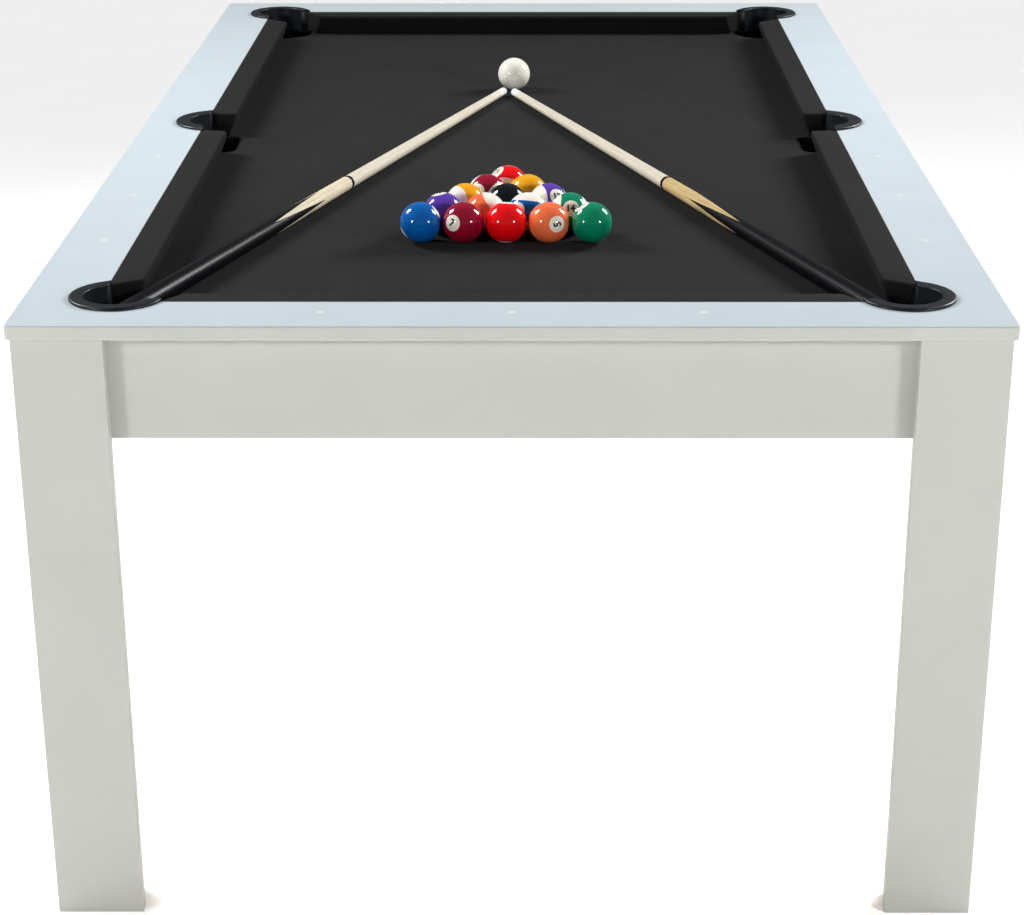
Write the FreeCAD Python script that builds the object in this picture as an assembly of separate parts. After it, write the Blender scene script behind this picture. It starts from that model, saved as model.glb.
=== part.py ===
import FreeCAD, Part
import math
import os

# Pool table with board legs, a laminated rail top, cloth-covered cushions, drop pockets,
# a racked set of balls, a cue ball and two cues.
# Millimetres.  Origin on the floor under the middle of the table: +X across, +Y along, +Z up.
# "Front" is the end at -Y.

# Overall size
table_length = 2134.0
table_width = 1210.0
rail_height = 813.0

# Laminated boards
rail_width = 97.0
rail_thickness = 18.0
rail_overhang = 6.0
rail_corner_radius = 8.0
rail_edge_radius = 2.0
board_thickness = 18.0
leg_width = 111.0
apron_height = 133.0

# Playing surface
cloth_drop = 38.0
cloth_thickness = 1.5
playfield_thickness = 18.0

# Cushions, measured inwards from the rail's inner edge
cushion_reach = 42.0
cushion_foot = 30.0
cushion_backing = 50.0
cushion_top_drop = 0.6
nose_top_drop = 1.5
nose_corner_radius = 10.0
side_cushion_end = 898.0
end_cushion_end = 438.0
cushion_slant = 30.0
side_gap = 57.0

# Pockets
corner_pocket_inset = 117.4
corner_rim_radius = 60.0
corner_throat_radius = 42.0
corner_cup_radius = 62.0
side_pocket_x = 488.0
side_rim_radius = 68.0
side_throat_radius = 46.0
side_cup_front = 456.0
side_cup_back = 540.0
side_cup_half_width = 53.0
side_cup_corner = 21.0
rim_height = 4.0
rim_tail = 4.0
pocket_wall = 3.0
pocket_bottom = 672.0
hole_clearance = 1.0
throat_clearance = 0.3

# Sights
sight_radius = 5.0
sight_depth = 1.5
sight_inset = 56.0
sight_spacing = 232.0

# Frame timbers and fasteners
cleat_width = 20.0
cleat_height = 30.0
beam_thickness = 20.0
beam_height = 70.0
beam_places = (-830.0, -520.0, -190.0, 190.0, 520.0, 830.0)
bolt_radius = 4.0
bolt_length = 30.0
bolt_head_radius = 7.5
bolt_head_height = 5.5
bolt_heights = (690.0, 740.0)
bolt_from_edge = 48.0

# Feet
block_size = 60.0
block_bottom = 22.0
block_top = 92.0
insert_radius = 7.0
stud_radius = 4.95
stud_hole_radius = 5.0
glide_radius = 20.0
glide_lift = 1.0
glide_height = 9.0
hex_radius = 8.5
hex_height = 6.0

# Balls and cues
ball_radius = 57.15 / 2
rack_pitch = 59.4
rack_apex = (-13.0, -370.0)
cue_ball_place = (-12.3, 412.6)
rest_gap = 0.3
cue_tip_radius = 6.6
cue_joint_radius = 10.5
cue_butt_radius = 14.5
cue_length = 1404.0
cue_tips = {"left": (-30.0, 372.0), "right": (-12.0, 364.0)}
cue_headings = {"left": -108.9, "right": -70.1}

# Worked out from the above
half_length = table_length / 2
half_width = table_width / 2
rail_underside = rail_height - rail_thickness
rail_inner_x = half_width - rail_width
rail_inner_y = half_length - rail_width
leg_outer_x = half_width - rail_overhang
leg_outer_y = half_length - rail_overhang
apron_outer_x = leg_outer_x - board_thickness
apron_outer_y = leg_outer_y - board_thickness
apron_inner_x = apron_outer_x - board_thickness
apron_inner_y = apron_outer_y - board_thickness
apron_bottom = rail_underside - apron_height
cloth_top = rail_height - cloth_drop
board_top = cloth_top - cloth_thickness
board_bottom = board_top - playfield_thickness
corner_pocket_x = half_width - corner_pocket_inset
corner_pocket_y = half_length - corner_pocket_inset
rim_top = rail_height + rim_height
far_out = table_length
corner_names = {(-1, -1): "front_left", (1, -1): "front_right", (-1, 1): "back_left", (1, 1): "back_right"}


def save(node, shape):
    shape.exportStep("parts/" + node + ".step")


def box(x0, x1, y0, y1, z0, z1):
    return Part.makeBox(x1 - x0, y1 - y0, z1 - z0, FreeCAD.Vector(x0, y0, z0))


def upright(x, y, z0, z1, radius):
    return Part.makeCylinder(radius, z1 - z0, FreeCAD.Vector(x, y, z0))


def prism(points, z0, z1):
    corners = [FreeCAD.Vector(x, y, z0) for x, y in points]
    wire = Part.makePolygon(corners + corners[:1])
    return Part.Face(wire).extrude(FreeCAD.Vector(0, 0, z1 - z0))


def mirrored(shape, x_sign, y_sign):
    """The shape in the +X +Y quarter, carried to the quarter with these signs."""
    middle = FreeCAD.Vector(0, 0, 0)
    if x_sign < 0:
        shape = shape.mirror(middle, FreeCAD.Vector(1, 0, 0))
    if y_sign < 0:
        shape = shape.mirror(middle, FreeCAD.Vector(0, 1, 0))
    return shape


def in_all_corners(shape):
    return [mirrored(shape, x_sign, y_sign) for x_sign, y_sign in corner_names]


def round_upright_edges(shape, radius, places):
    """Round the vertical edges that stand at these (x, y) places."""
    chosen = []
    for edge in shape.Edges:
        start = edge.Vertexes[0].Point
        stop = edge.Vertexes[-1].Point
        is_upright = math.hypot(stop.x - start.x, stop.y - start.y) < 0.01
        if is_upright and any(math.hypot(start.x - x, start.y - y) < 0.01 for x, y in places):
            chosen.append(edge)
    return shape.makeFillet(radius, chosen)


def round_level_edges(shape, radius, heights):
    """Round the edges that lie level at these heights."""
    chosen = []
    for edge in shape.Edges:
        span = edge.BoundBox
        if span.ZLength < 0.01 and any(abs(span.ZMin - height) < 0.01 for height in heights):
            chosen.append(edge)
    return shape.makeFillet(radius, chosen)


# Rail top: one rounded slab, mitred into four rails

def sight_places():
    places = []
    for step in (-3, -2, -1, 1, 2, 3):
        for side in (-1, 1):
            places.append((side * (half_width - sight_inset), step * sight_spacing))
    for step in (-1, 0, 1):
        for side in (-1, 1):
            places.append((step * sight_spacing, side * (half_length - sight_inset)))
    return places


def sight(x, y):
    return upright(x, y, rail_height - sight_depth, rail_height, sight_radius)


def rail_slab():
    slab = box(-half_width, half_width, -half_length, half_length, rail_underside, rail_height)
    corners = [(x * half_width, y * half_length) for x, y in corner_names]
    slab = round_upright_edges(slab, rail_corner_radius, corners)
    slab = round_level_edges(slab, rail_edge_radius, (rail_underside, rail_height))
    openings = [box(-rail_inner_x, rail_inner_x, -rail_inner_y, rail_inner_y, 0, rim_top)]
    corner_hole_radius = corner_throat_radius + pocket_wall + throat_clearance
    side_hole_radius = side_throat_radius + pocket_wall + throat_clearance
    openings += in_all_corners(upright(corner_pocket_x, corner_pocket_y, 0, rim_top, corner_hole_radius))
    for side in (-1, 1):
        openings.append(upright(side * side_pocket_x, 0, 0, rim_top, side_hole_radius))
    openings += [sight(x, y) for x, y in sight_places()]
    return slab.cut(openings)


def make_rails():
    slab = rail_slab()
    outer_reach = rail_width + 1
    for side, node in ((-1, "rail_left"), (1, "rail_right")):
        mitre = [
            (side * rail_inner_x, -rail_inner_y),
            (side * (rail_inner_x + outer_reach), -rail_inner_y - outer_reach),
            (side * (rail_inner_x + outer_reach), rail_inner_y + outer_reach),
            (side * rail_inner_x, rail_inner_y),
        ]
        save(node, slab.common(prism(mitre, 0, rim_top)))
    for side, node in ((-1, "rail_front"), (1, "rail_back")):
        mitre = [
            (-rail_inner_x, side * rail_inner_y),
            (-rail_inner_x - outer_reach, side * (rail_inner_y + outer_reach)),
            (rail_inner_x + outer_reach, side * (rail_inner_y + outer_reach)),
            (rail_inner_x, side * rail_inner_y),
        ]
        save(node, slab.common(prism(mitre, 0, rim_top)))


def make_sights():
    save("rail_sights", Part.makeCompound([sight(x, y) for x, y in sight_places()]))


# Aprons, legs and the bolts that join them

def bolt_axes():
    """Each bolt: the middle of its head's inner side, and the outward direction, in the +X +Y quarter."""
    along_end = leg_outer_x - bolt_from_edge - board_thickness
    along_side = leg_outer_y - bolt_from_edge - board_thickness
    axes = []
    for height in bolt_heights:
        axes.append((FreeCAD.Vector(along_end, apron_inner_y, height), FreeCAD.Vector(0, 1, 0)))
        axes.append((FreeCAD.Vector(apron_inner_x, along_side, height), FreeCAD.Vector(1, 0, 0)))
    return axes


def bolt_shanks():
    return [Part.makeCylinder(bolt_radius, bolt_length, start, way) for start, way in bolt_axes()]


def hex_prism(radius, height, start, way):
    corners = []
    for step in range(6):
        angle = math.radians(60 * step)
        corners.append(FreeCAD.Vector(radius * math.cos(angle), radius * math.sin(angle), 0))
    solid = Part.Face(Part.makePolygon(corners + corners[:1])).extrude(FreeCAD.Vector(0, 0, height))
    solid.Placement = FreeCAD.Placement(start, FreeCAD.Rotation(FreeCAD.Vector(0, 0, 1), way))
    return solid


def make_leg_bolts():
    bolts = []
    for start, way in bolt_axes():
        shank = Part.makeCylinder(bolt_radius, bolt_length, start, way)
        head = hex_prism(bolt_head_radius, bolt_head_height, start, way * -1)
        bolts += in_all_corners(shank.fuse(head).removeSplitter())
    save("leg_bolts", Part.makeCompound(bolts))


def bolt_holes():
    holes = []
    for shank in bolt_shanks():
        holes += in_all_corners(shank)
    return holes


def make_aprons():
    holes = bolt_holes()
    for side, node in ((-1, "apron_front"), (1, "apron_back")):
        low, high = sorted((side * apron_inner_y, side * apron_outer_y))
        panel = box(-apron_outer_x, apron_outer_x, low, high, apron_bottom, rail_underside)
        save(node, panel.cut(holes))
    for side, node in ((-1, "apron_left"), (1, "apron_right")):
        low, high = sorted((side * apron_inner_x, side * apron_outer_x))
        panel = box(low, high, -apron_inner_y, apron_inner_y, apron_bottom, rail_underside)
        save(node, panel.cut(holes))


def leg_boards():
    """The two mitred boards of the leg in the +X +Y quarter: the one on the end, and the one on the side."""
    inner_x = leg_outer_x - leg_width
    inner_y = leg_outer_y - leg_width
    outside = (leg_outer_x, leg_outer_y)
    inside = (apron_outer_x, apron_outer_y)
    end_points = [outside, inside, (inner_x, apron_outer_y), (inner_x, leg_outer_y)]
    side_points = [outside, inside, (apron_outer_x, inner_y), (leg_outer_x, inner_y)]
    end_board = prism(end_points, 0, rail_underside)
    end_board = round_upright_edges(end_board, 1.0, end_points[2:])
    side_board = prism(side_points, 0, rail_underside)
    side_board = round_upright_edges(side_board, 1.0, side_points[2:])
    return end_board, side_board


def make_legs():
    end_board, side_board = leg_boards()
    shanks = bolt_shanks()
    end_board = end_board.cut(shanks)
    side_board = side_board.cut(shanks)
    for (x_sign, y_sign), name in corner_names.items():
        save("leg_" + name + "_end_board", mirrored(end_board, x_sign, y_sign))
        save("leg_" + name + "_side_board", mirrored(side_board, x_sign, y_sign))


# Levelling feet, each in a steel insert in a block glued inside its leg

foot_x = apron_outer_x - block_size / 2
foot_y = apron_outer_y - block_size / 2


def make_foot_blocks():
    block = box(apron_outer_x - block_size, apron_outer_x, apron_outer_y - block_size, apron_outer_y,
                block_bottom, block_top)
    block = block.cut(upright(foot_x, foot_y, block_bottom, block_top, insert_radius))
    save("leg_foot_blocks", Part.makeCompound(in_all_corners(block)))
    sleeve = upright(foot_x, foot_y, block_bottom, block_top, insert_radius)
    sleeve = sleeve.cut(upright(foot_x, foot_y, block_bottom, block_top, stud_hole_radius))
    save("foot_inserts", Part.makeCompound(in_all_corners(sleeve)))


def make_levellers():
    glide_top = glide_lift + glide_height
    glide = round_level_edges(upright(foot_x, foot_y, glide_lift, glide_top, glide_radius), 2.5,
                              (glide_lift, glide_top))
    collar = hex_prism(hex_radius, hex_height, FreeCAD.Vector(foot_x, foot_y, glide_top),
                       FreeCAD.Vector(0, 0, 1))
    stud = upright(foot_x, foot_y, glide_top, block_top - 4, stud_radius)
    foot = glide.fuse([collar, stud]).removeSplitter()
    for (x_sign, y_sign), name in corner_names.items():
        save("leveller_" + name, mirrored(foot, x_sign, y_sign))


# Playing surface and the timbers that carry it

def side_cup_outline(grow, z0, z1):
    """The side pocket's drop, a box with rounded corners, grown outwards by this much."""
    x0 = side_cup_front - grow
    x1 = side_cup_back + grow
    reach = side_cup_half_width + grow
    solid = box(x0, x1, -reach, reach, z0, z1)
    corners = [(x, y) for x in (x0, x1) for y in (-reach, reach)]
    return round_upright_edges(solid, side_cup_corner + grow, corners)


def drop_holes():
    hole = upright(corner_pocket_x, corner_pocket_y, 0, rim_top, corner_cup_radius + hole_clearance)
    holes = in_all_corners(hole)
    side_hole = side_cup_outline(hole_clearance, 0, rim_top)
    holes += [side_hole, mirrored(side_hole, -1, 1)]
    return holes


def make_playfield():
    holes = drop_holes()
    board = box(-apron_inner_x, apron_inner_x, -apron_inner_y, apron_inner_y, board_bottom, board_top)
    save("playfield_board", board.cut(holes))
    cloth = box(-apron_inner_x, apron_inner_x, -apron_inner_y, apron_inner_y, board_top, cloth_top)
    save("playfield_cloth", cloth.cut(holes))


def make_timbers():
    inner = apron_inner_x - cleat_width
    beams = []
    for place in beam_places:
        low = place - beam_thickness / 2
        beams.append(box(-inner, inner, low, low + beam_thickness, board_bottom - beam_height, board_bottom))
    save("cross_beams", Part.makeCompound(beams))
    cleat_bottom = board_bottom - cleat_height
    past_side_cup = side_cup_half_width + 7
    before_corner = corner_pocket_y - 35
    long_cleat = box(inner, apron_inner_x, past_side_cup, before_corner, cleat_bottom, board_bottom)
    end_cleat = box(-corner_pocket_x + 48, corner_pocket_x - 48, apron_inner_y - cleat_width, apron_inner_y,
                    cleat_bottom, board_bottom)
    cleats = in_all_corners(long_cleat)
    cleats += [end_cleat, mirrored(end_cleat, 1, -1)]
    save("support_cleats", Part.makeCompound(cleats))


# Cushions

def cushion_section(edge):
    """Nearly flat top, rounded nose, front face cut under, and a backing strip below the rail."""
    nose = edge - cushion_reach
    top = rail_height - cushion_top_drop
    nose_top = rail_height - nose_top_drop

    def at(x, z):
        return FreeCAD.Vector(x, 0, z)

    round_start = at(nose + 4.5, nose_top)
    round_middle = at(nose + 1.2, nose_top - 1.3)
    round_stop = at(nose, nose_top - 4.5)
    sides = [
        Part.LineSegment(at(edge, top), round_start),
        Part.Arc(round_start, round_middle, round_stop),
        Part.LineSegment(round_stop, at(edge - cushion_foot, cloth_top)),
        Part.LineSegment(at(edge - cushion_foot, cloth_top), at(edge + cushion_backing, cloth_top)),
        Part.LineSegment(at(edge + cushion_backing, cloth_top), at(edge + cushion_backing, rail_underside)),
        Part.LineSegment(at(edge + cushion_backing, rail_underside), at(edge, rail_underside)),
        Part.LineSegment(at(edge, rail_underside), at(edge, top)),
    ]
    return Part.Face(Part.Wire([side.toShape() for side in sides]))


def cushion(edge, low, low_slant, high, high_slant):
    """A cushion on the +X side whose back ends at low and high, with ends slanted back to the nose."""
    bar = cushion_section(edge)
    bar.translate(FreeCAD.Vector(0, -far_out, 0))
    bar = bar.extrude(FreeCAD.Vector(0, 2 * far_out, 0))
    nose = edge - cushion_reach
    back = edge + cushion_backing
    low_rate = low_slant / cushion_reach
    high_rate = high_slant / cushion_reach
    plan = [
        (nose, low + low_slant),
        (back, low - low_rate * cushion_backing),
        (back, high + high_rate * cushion_backing),
        (nose, high - high_slant),
    ]
    outline = round_upright_edges(prism(plan, 0, rim_top), nose_corner_radius, (plan[0], plan[3]))
    return bar.common(outline)


def make_cushions():
    side = cushion(rail_inner_x, side_gap, 0, side_cushion_end, cushion_slant)
    for (x_sign, y_sign), name in corner_names.items():
        save("cushion_side_" + name, mirrored(side, x_sign, y_sign))
    end = cushion(rail_inner_y, -end_cushion_end, cushion_slant, end_cushion_end, cushion_slant)
    for angle, node in ((90, "cushion_back"), (-90, "cushion_front")):
        turned = end.copy()
        turned.rotate(FreeCAD.Vector(0, 0, 0), FreeCAD.Vector(0, 0, 1), angle)
        save(node, turned)


# Pockets: a rim that lies on the rail, a throat behind it, and a closed drop below the cloth

def pocket_rim(x, y, rim_radius, throat_radius):
    rim = upright(x, y, rail_height, rim_top, rim_radius)
    rim = rim.cut(upright(x, y, rail_height, rim_top, throat_radius))
    rim = round_level_edges(rim, rim_height * 0.7, (rim_top,))
    inside = box(-rail_inner_x + rim_tail, rail_inner_x - rim_tail, -rail_inner_y + rim_tail,
                 rail_inner_y - rim_tail, rail_height, rim_top)
    return rim.cut(inside)


def pocket_throat(x, y, throat_radius, behind):
    outside = upright(x, y, board_top - pocket_wall, rail_height + rim_height / 2, throat_radius + pocket_wall)
    inside = upright(x, y, 0, rim_top + 1, throat_radius)
    return outside.cut(inside).common(behind)


def pocket_drop(outer, inner, shelf, x, y, throat_radius, behind):
    """A closed cup below the cloth, with a shelf that joins it to the throat above."""
    shelf = shelf.cut(upright(x, y, 0, rim_top, throat_radius)).common(behind)
    return outer.cut(inner).fuse(shelf)


def make_corner_pockets():
    x = corner_pocket_x
    y = corner_pocket_y
    behind = box(-300, 10, -300, 300, 0, rim_top + 1)
    behind.rotate(FreeCAD.Vector(0, 0, 0), FreeCAD.Vector(0, 0, 1), 225)
    behind.translate(FreeCAD.Vector(x, y, 0))
    outer = upright(x, y, pocket_bottom, board_top, corner_cup_radius)
    inner = upright(x, y, pocket_bottom + pocket_wall, board_top, corner_cup_radius - pocket_wall)
    shelf = upright(x, y, board_top - pocket_wall, board_top, corner_cup_radius)
    drop = pocket_drop(outer, inner, shelf, x, y, corner_throat_radius, behind)
    rim = pocket_rim(x, y, corner_rim_radius, corner_throat_radius)
    pocket = rim.fuse([pocket_throat(x, y, corner_throat_radius, behind), drop]).removeSplitter()
    for (x_sign, y_sign), name in corner_names.items():
        save("pocket_" + name, mirrored(pocket, x_sign, y_sign))


def make_side_pockets():
    x = side_pocket_x
    behind = box(x - 6, x + 300, -300, 300, 0, rim_top + 1)
    outer = side_cup_outline(0, pocket_bottom, board_top)
    inner = side_cup_outline(-pocket_wall, pocket_bottom + pocket_wall, board_top + 1)
    shelf = side_cup_outline(0, board_top - pocket_wall, board_top)
    drop = pocket_drop(outer, inner, shelf, x, 0, side_throat_radius, behind)
    rim = pocket_rim(x, 0, side_rim_radius, side_throat_radius)
    pocket = rim.fuse([pocket_throat(x, 0, side_throat_radius, behind), drop]).removeSplitter()
    save("pocket_side_right", pocket)
    save("pocket_side_left", mirrored(pocket, -1, 1))


# Balls and cues, which lift off.  Rows are by ball number, from the apex towards the front.

rack_rows = (
    (11,),
    (15, 1),
    (9, 8, 12),
    (4, 13, 10, 14),
    (2, 7, 3, 5, 6),
)


def ball_at(x, y):
    return Part.makeSphere(ball_radius, FreeCAD.Vector(x, y, cloth_top + rest_gap + ball_radius))


def make_balls():
    row_pitch = rack_pitch * math.sqrt(3) / 2
    for row, numbers in enumerate(rack_rows):
        y = rack_apex[1] - row * row_pitch
        for place, number in enumerate(numbers):
            x = rack_apex[0] + (place - row / 2) * rack_pitch
            save("ball_%02d" % number, ball_at(x, y))
    save("ball_cue", ball_at(*cue_ball_place))


def cue_piece(tip, butt, start_share, stop_share, start_radius, stop_radius):
    """A tapered length of cue between two shares of the way from the tip's centre to the butt's."""
    span = butt - tip
    start = tip + span * start_share
    length = span.Length * (stop_share - start_share)
    return Part.makeCone(start_radius, stop_radius, length, start, span)


def make_cues():
    """Each cue lies with its tip near the cue ball and its butt in a front pocket."""
    floor = cloth_top + rest_gap
    for side, (x, y) in cue_tips.items():
        heading = math.radians(cue_headings[side])
        along = FreeCAD.Vector(cue_length * math.cos(heading), cue_length * math.sin(heading), 0)
        tip = FreeCAD.Vector(x, y, floor + cue_tip_radius)
        butt = FreeCAD.Vector(x, y, floor + cue_butt_radius) + along
        save("cue_" + side + "_shaft", cue_piece(tip, butt, 0, 0.5, cue_tip_radius, cue_joint_radius))
        save("cue_" + side + "_butt", cue_piece(tip, butt, 0.5, 1, cue_joint_radius, cue_butt_radius))


os.makedirs("parts", exist_ok=True)
make_rails()
make_sights()
make_aprons()
make_legs()
make_leg_bolts()
make_foot_blocks()
make_levellers()
make_playfield()
make_timbers()
make_cushions()
make_corner_pockets()
make_side_pockets()
make_balls()
make_cues()
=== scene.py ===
import math

import bmesh
import bpy
import numpy as np
from mathutils import Matrix, Vector


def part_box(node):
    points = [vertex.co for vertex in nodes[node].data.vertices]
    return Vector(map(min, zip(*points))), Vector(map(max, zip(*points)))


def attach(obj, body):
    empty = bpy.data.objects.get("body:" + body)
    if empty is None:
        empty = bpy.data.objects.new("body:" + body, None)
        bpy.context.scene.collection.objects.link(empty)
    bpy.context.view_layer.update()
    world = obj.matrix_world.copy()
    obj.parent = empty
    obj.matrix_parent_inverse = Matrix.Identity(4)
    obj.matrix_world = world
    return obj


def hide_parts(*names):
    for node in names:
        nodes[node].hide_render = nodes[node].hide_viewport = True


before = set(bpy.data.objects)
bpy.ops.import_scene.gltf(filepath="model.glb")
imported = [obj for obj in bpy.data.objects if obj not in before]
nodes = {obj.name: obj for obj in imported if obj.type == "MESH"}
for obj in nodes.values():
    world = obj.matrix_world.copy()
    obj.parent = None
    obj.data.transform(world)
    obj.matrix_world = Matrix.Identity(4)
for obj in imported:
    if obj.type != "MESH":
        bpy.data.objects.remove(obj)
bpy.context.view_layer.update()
mm = 0.001

# Pool table, seen from its front end: +X right, +Y away, +Z up, in metres.
# Lengths in the dictionaries are millimetres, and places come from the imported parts' boxes.


def surface(points, loopU=False, loopV=False):
    # a net of quads over points[u, v]; a looped direction joins its last row to its first
    countU, countV = points.shape[:2]
    rows, columns = countU - (not loopU), countV - (not loopV)
    u, v = np.meshgrid(np.arange(rows), np.arange(columns), indexing="ij")
    corners = [(u, v), (u + 1, v), (u + 1, v + 1), (u, v + 1)]
    faces = np.stack([(a % countU) * countV + b % countV for a, b in corners], -1).reshape(-1, 4)
    uvs = np.stack([np.stack([a / countU, b / countV], -1) for a, b in corners], 2).reshape(-1, 2)
    return {"points": points.reshape(-1, 3), "faces": faces, "uvs": uvs}


def capped(points, shares=(0.55, 0.0)):
    # ends of a row of closed sections drawn in to their middles, so that the skin closes at a point
    first, last = points[:1], points[-1:]
    start = [first.mean(1, keepdims=True) * (1 - s) + first * s for s in reversed(shares)]
    stop = [last.mean(1, keepdims=True) * (1 - s) + last * s for s in shares]
    return np.concatenate(start + [points] + stop, 0)


def roundedOutline(corners, radii, steps=6):
    # closed outline whose corner i is an arc of radii[i] tangent to both its sides:
    # centre = corner + bisector * r / sin(half angle), swept from one tangent point to the other
    corner = np.array(corners, float)
    radius = np.array(radii, float)[:, None]
    back = np.roll(corner, 1, 0) - corner
    ahead = np.roll(corner, -1, 0) - corner
    back /= np.linalg.norm(back, axis=1, keepdims=True)
    ahead /= np.linalg.norm(ahead, axis=1, keepdims=True)
    half = np.arccos(np.clip((back * ahead).sum(1, keepdims=True), -1, 1)) / 2
    middle = back + ahead
    middle /= np.linalg.norm(middle, axis=1, keepdims=True)
    centre = corner + middle * radius / np.sin(half)
    reach = radius / np.tan(half)
    start = corner + back * reach - centre
    stop = corner + ahead * reach - centre
    turn = math.pi - 2 * half
    t = np.linspace(0, 1, steps)
    share = [(np.sin((1 - s) * turn) / np.sin(turn), np.sin(s * turn) / np.sin(turn)) for s in t]
    arcs = np.stack([centre + start * a + stop * b for a, b in share], 1)
    return arcs.reshape(-1, 2)


def outlineNormals(outline):
    # outward unit normals of a closed outline, from its neighbours on both sides
    apart = np.roll(outline, -1, 0) - np.roll(outline, 1, 0)
    normal = np.stack([apart[:, 1], -apart[:, 0]], -1)
    normal /= np.maximum(np.linalg.norm(normal, axis=1, keepdims=True), 1e-12)
    x, y = outline.T
    area = (x * np.roll(y, -1) - np.roll(x, -1) * y).sum()
    return normal * np.sign(area)


def isInsideOut(skin):
    # the signed volume under the faces is negative when they look inwards
    a, b, c, d = (skin["points"][skin["faces"][:, i]] for i in range(4))
    volume = (np.cross(b, c) * a).sum() + (np.cross(c, d) * a).sum()
    return volume < 0


def piece(name, skins, materials, body, stoodFor=(), sharpAngle=38, attributes=None,
          sheet=False):
    # several skins as one object: places in metres, faces outward, doubles merged
    points, faces, uvs, picks = [], [], [], []
    start = 0
    for skin in skins:
        face, uv = skin["faces"], skin["uvs"].reshape(-1, 4, 2)
        if not sheet and isInsideOut(skin):
            face, uv = face[:, ::-1], uv[:, ::-1]
        points.append(skin["points"])
        faces.append(face + start)
        uvs.append(uv.reshape(-1, 2))
        picks.append(np.broadcast_to(skin.get("pick", 0), len(face)))
        start += len(skin["points"])
    mesh = bpy.data.meshes.new(name)
    mesh.from_pydata(np.concatenate(points), [], np.concatenate(faces))
    layer = mesh.uv_layers.new(name="UVMap")
    layer.data.foreach_set("uv", np.concatenate(uvs).astype(np.float32).ravel())
    mesh.polygons.foreach_set("material_index", np.concatenate(picks).astype(np.int32))
    for key, values in (attributes or {}).items():
        held = mesh.attributes.new(key, "FLOAT", "POINT")
        held.data.foreach_set("value", values.astype(np.float32))
    mergeDoubles(mesh)
    mesh.shade_smooth()
    mesh.set_sharp_from_angle(angle=math.radians(sharpAngle))
    for material in materials:
        mesh.materials.append(material)
    made = bpy.data.objects.new(name, mesh)
    bpy.context.scene.collection.objects.link(made)
    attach(made, body)
    if stoodFor:
        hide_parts(*stoodFor)
    return made


def mergeDoubles(mesh):
    work = bmesh.new()
    work.from_mesh(mesh)
    bmesh.ops.remove_doubles(work, verts=work.verts, dist=0.004 * mm)
    bmesh.ops.dissolve_degenerate(work, edges=work.edges, dist=0.001 * mm)
    work.to_mesh(mesh)
    work.free()


def linear(tone):
    # sRGB hex to linear: c / 12.92 up to 0.04045, above it ((c + 0.055) / 1.055) to the power 2.4
    shares = [int(tone[i:i + 2], 16) / 255 for i in (1, 3, 5)]
    return [c / 12.92 if c <= 0.04045 else ((c + 0.055) / 1.055) ** 2.4 for c in shares] + [1.0]


def add(tree, kind, settings=None, links=None):
    # one node: a setting is a property or a socket's value, a link is a socket and what feeds it
    made = tree.nodes.new("ShaderNode" + kind)
    for name, value in (settings or {}).items():
        if isinstance(name, str) and hasattr(made, name):
            setattr(made, name, value)
        else:
            made.inputs[name].default_value = value
    for name, source in (links or {}).items():
        tree.links.new(source, made.inputs[name])
    return made


def newMaterial(name, settings):
    made = bpy.data.materials.new(name)
    made.use_nodes = True
    shader = made.node_tree.nodes["Principled BSDF"]
    for socket, value in settings.items():
        shader.inputs[socket].default_value = value
    return made, made.node_tree, shader


def perMetre(sizeMm):
    # pattern scale for features this many millimetres across
    return 1000 / sizeMm


def grain(tree, size, stretch=(1, 1, 1), detail=3):
    # noise from 0 to 1 with features this size in mm, drawn out by stretch along each axis
    where = add(tree, "TexCoord").outputs["Object"]
    scale = [perMetre(size) / s for s in stretch]
    drawn = add(tree, "Mapping", {"Scale": scale}, {"Vector": where})
    noise = add(tree, "TexNoise", {"Scale": 1.0, "Detail": detail, "Roughness": 0.55},
                {"Vector": drawn.outputs[0]})
    return noise.outputs[0]


def spread(tree, value, low, high, toLow=0.0, toHigh=1.0):
    # one range stretched to another, held at its ends
    limits = {"From Min": low, "From Max": high, "To Min": toLow, "To Max": toHigh}
    return add(tree, "MapRange", limits, {"Value": value}).outputs[0]


# nearly all of a noise lies in the wide span; the sharper one gives a quicker change of tone
wide, sharper = (0.3, 0.7), (0.35, 0.65)


def fromNoise(tree, noise, toLow=0.0, toHigh=1.0):
    return spread(tree, noise, *wide, toLow, toHigh)


def attributeOf(tree, name, output="Fac"):
    return add(tree, "Attribute", {"attribute_name": name}).outputs[output]


def twoTones(tree, share, low, high):
    # low where share is 0, high where it is 1; each is a hex tone or another output
    mix = add(tree, "Mix", {"data_type": "RGBA"}, {0: share})
    for socket, tone in ((6, low), (7, high)):
        if isinstance(tone, str):
            mix.inputs[socket].default_value = linear(tone)
        else:
            tree.links.new(tone, mix.inputs[socket])
    return mix.outputs[2]


def finishWith(tree, shader, tone=None, roughness=None, height=None, depth=0.02, strength=1.0):
    # wires colour, roughness and a relief whose depth is in mm
    if tone is not None:
        tree.links.new(tone, shader.inputs["Base Color"])
    if roughness is not None:
        tree.links.new(roughness, shader.inputs["Roughness"])
    if height is not None:
        bump = add(tree, "Bump", {"Strength": strength, "Distance": depth * mm}, {"Height": height})
        tree.links.new(bump.outputs[0], shader.inputs["Normal"])


laminate = {
    # the rail top tone is the laminate under painted cool light from above; the band tone is the colour
    # of its edges
    "railTop": ("#C1CCD1", "#C4CFD4"),
    "railBand": ("#B6B8B3", "#B9BBB6"),
    "panel": ("#B4B5AF", "#B7B8B2"),
    "cloud": 90, "peel": 0.9, "peelDepth": 0.012, "gloss": (0.46, 0.54), "paintedTopLightSpan": (0.6, 0.9),
}


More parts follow.
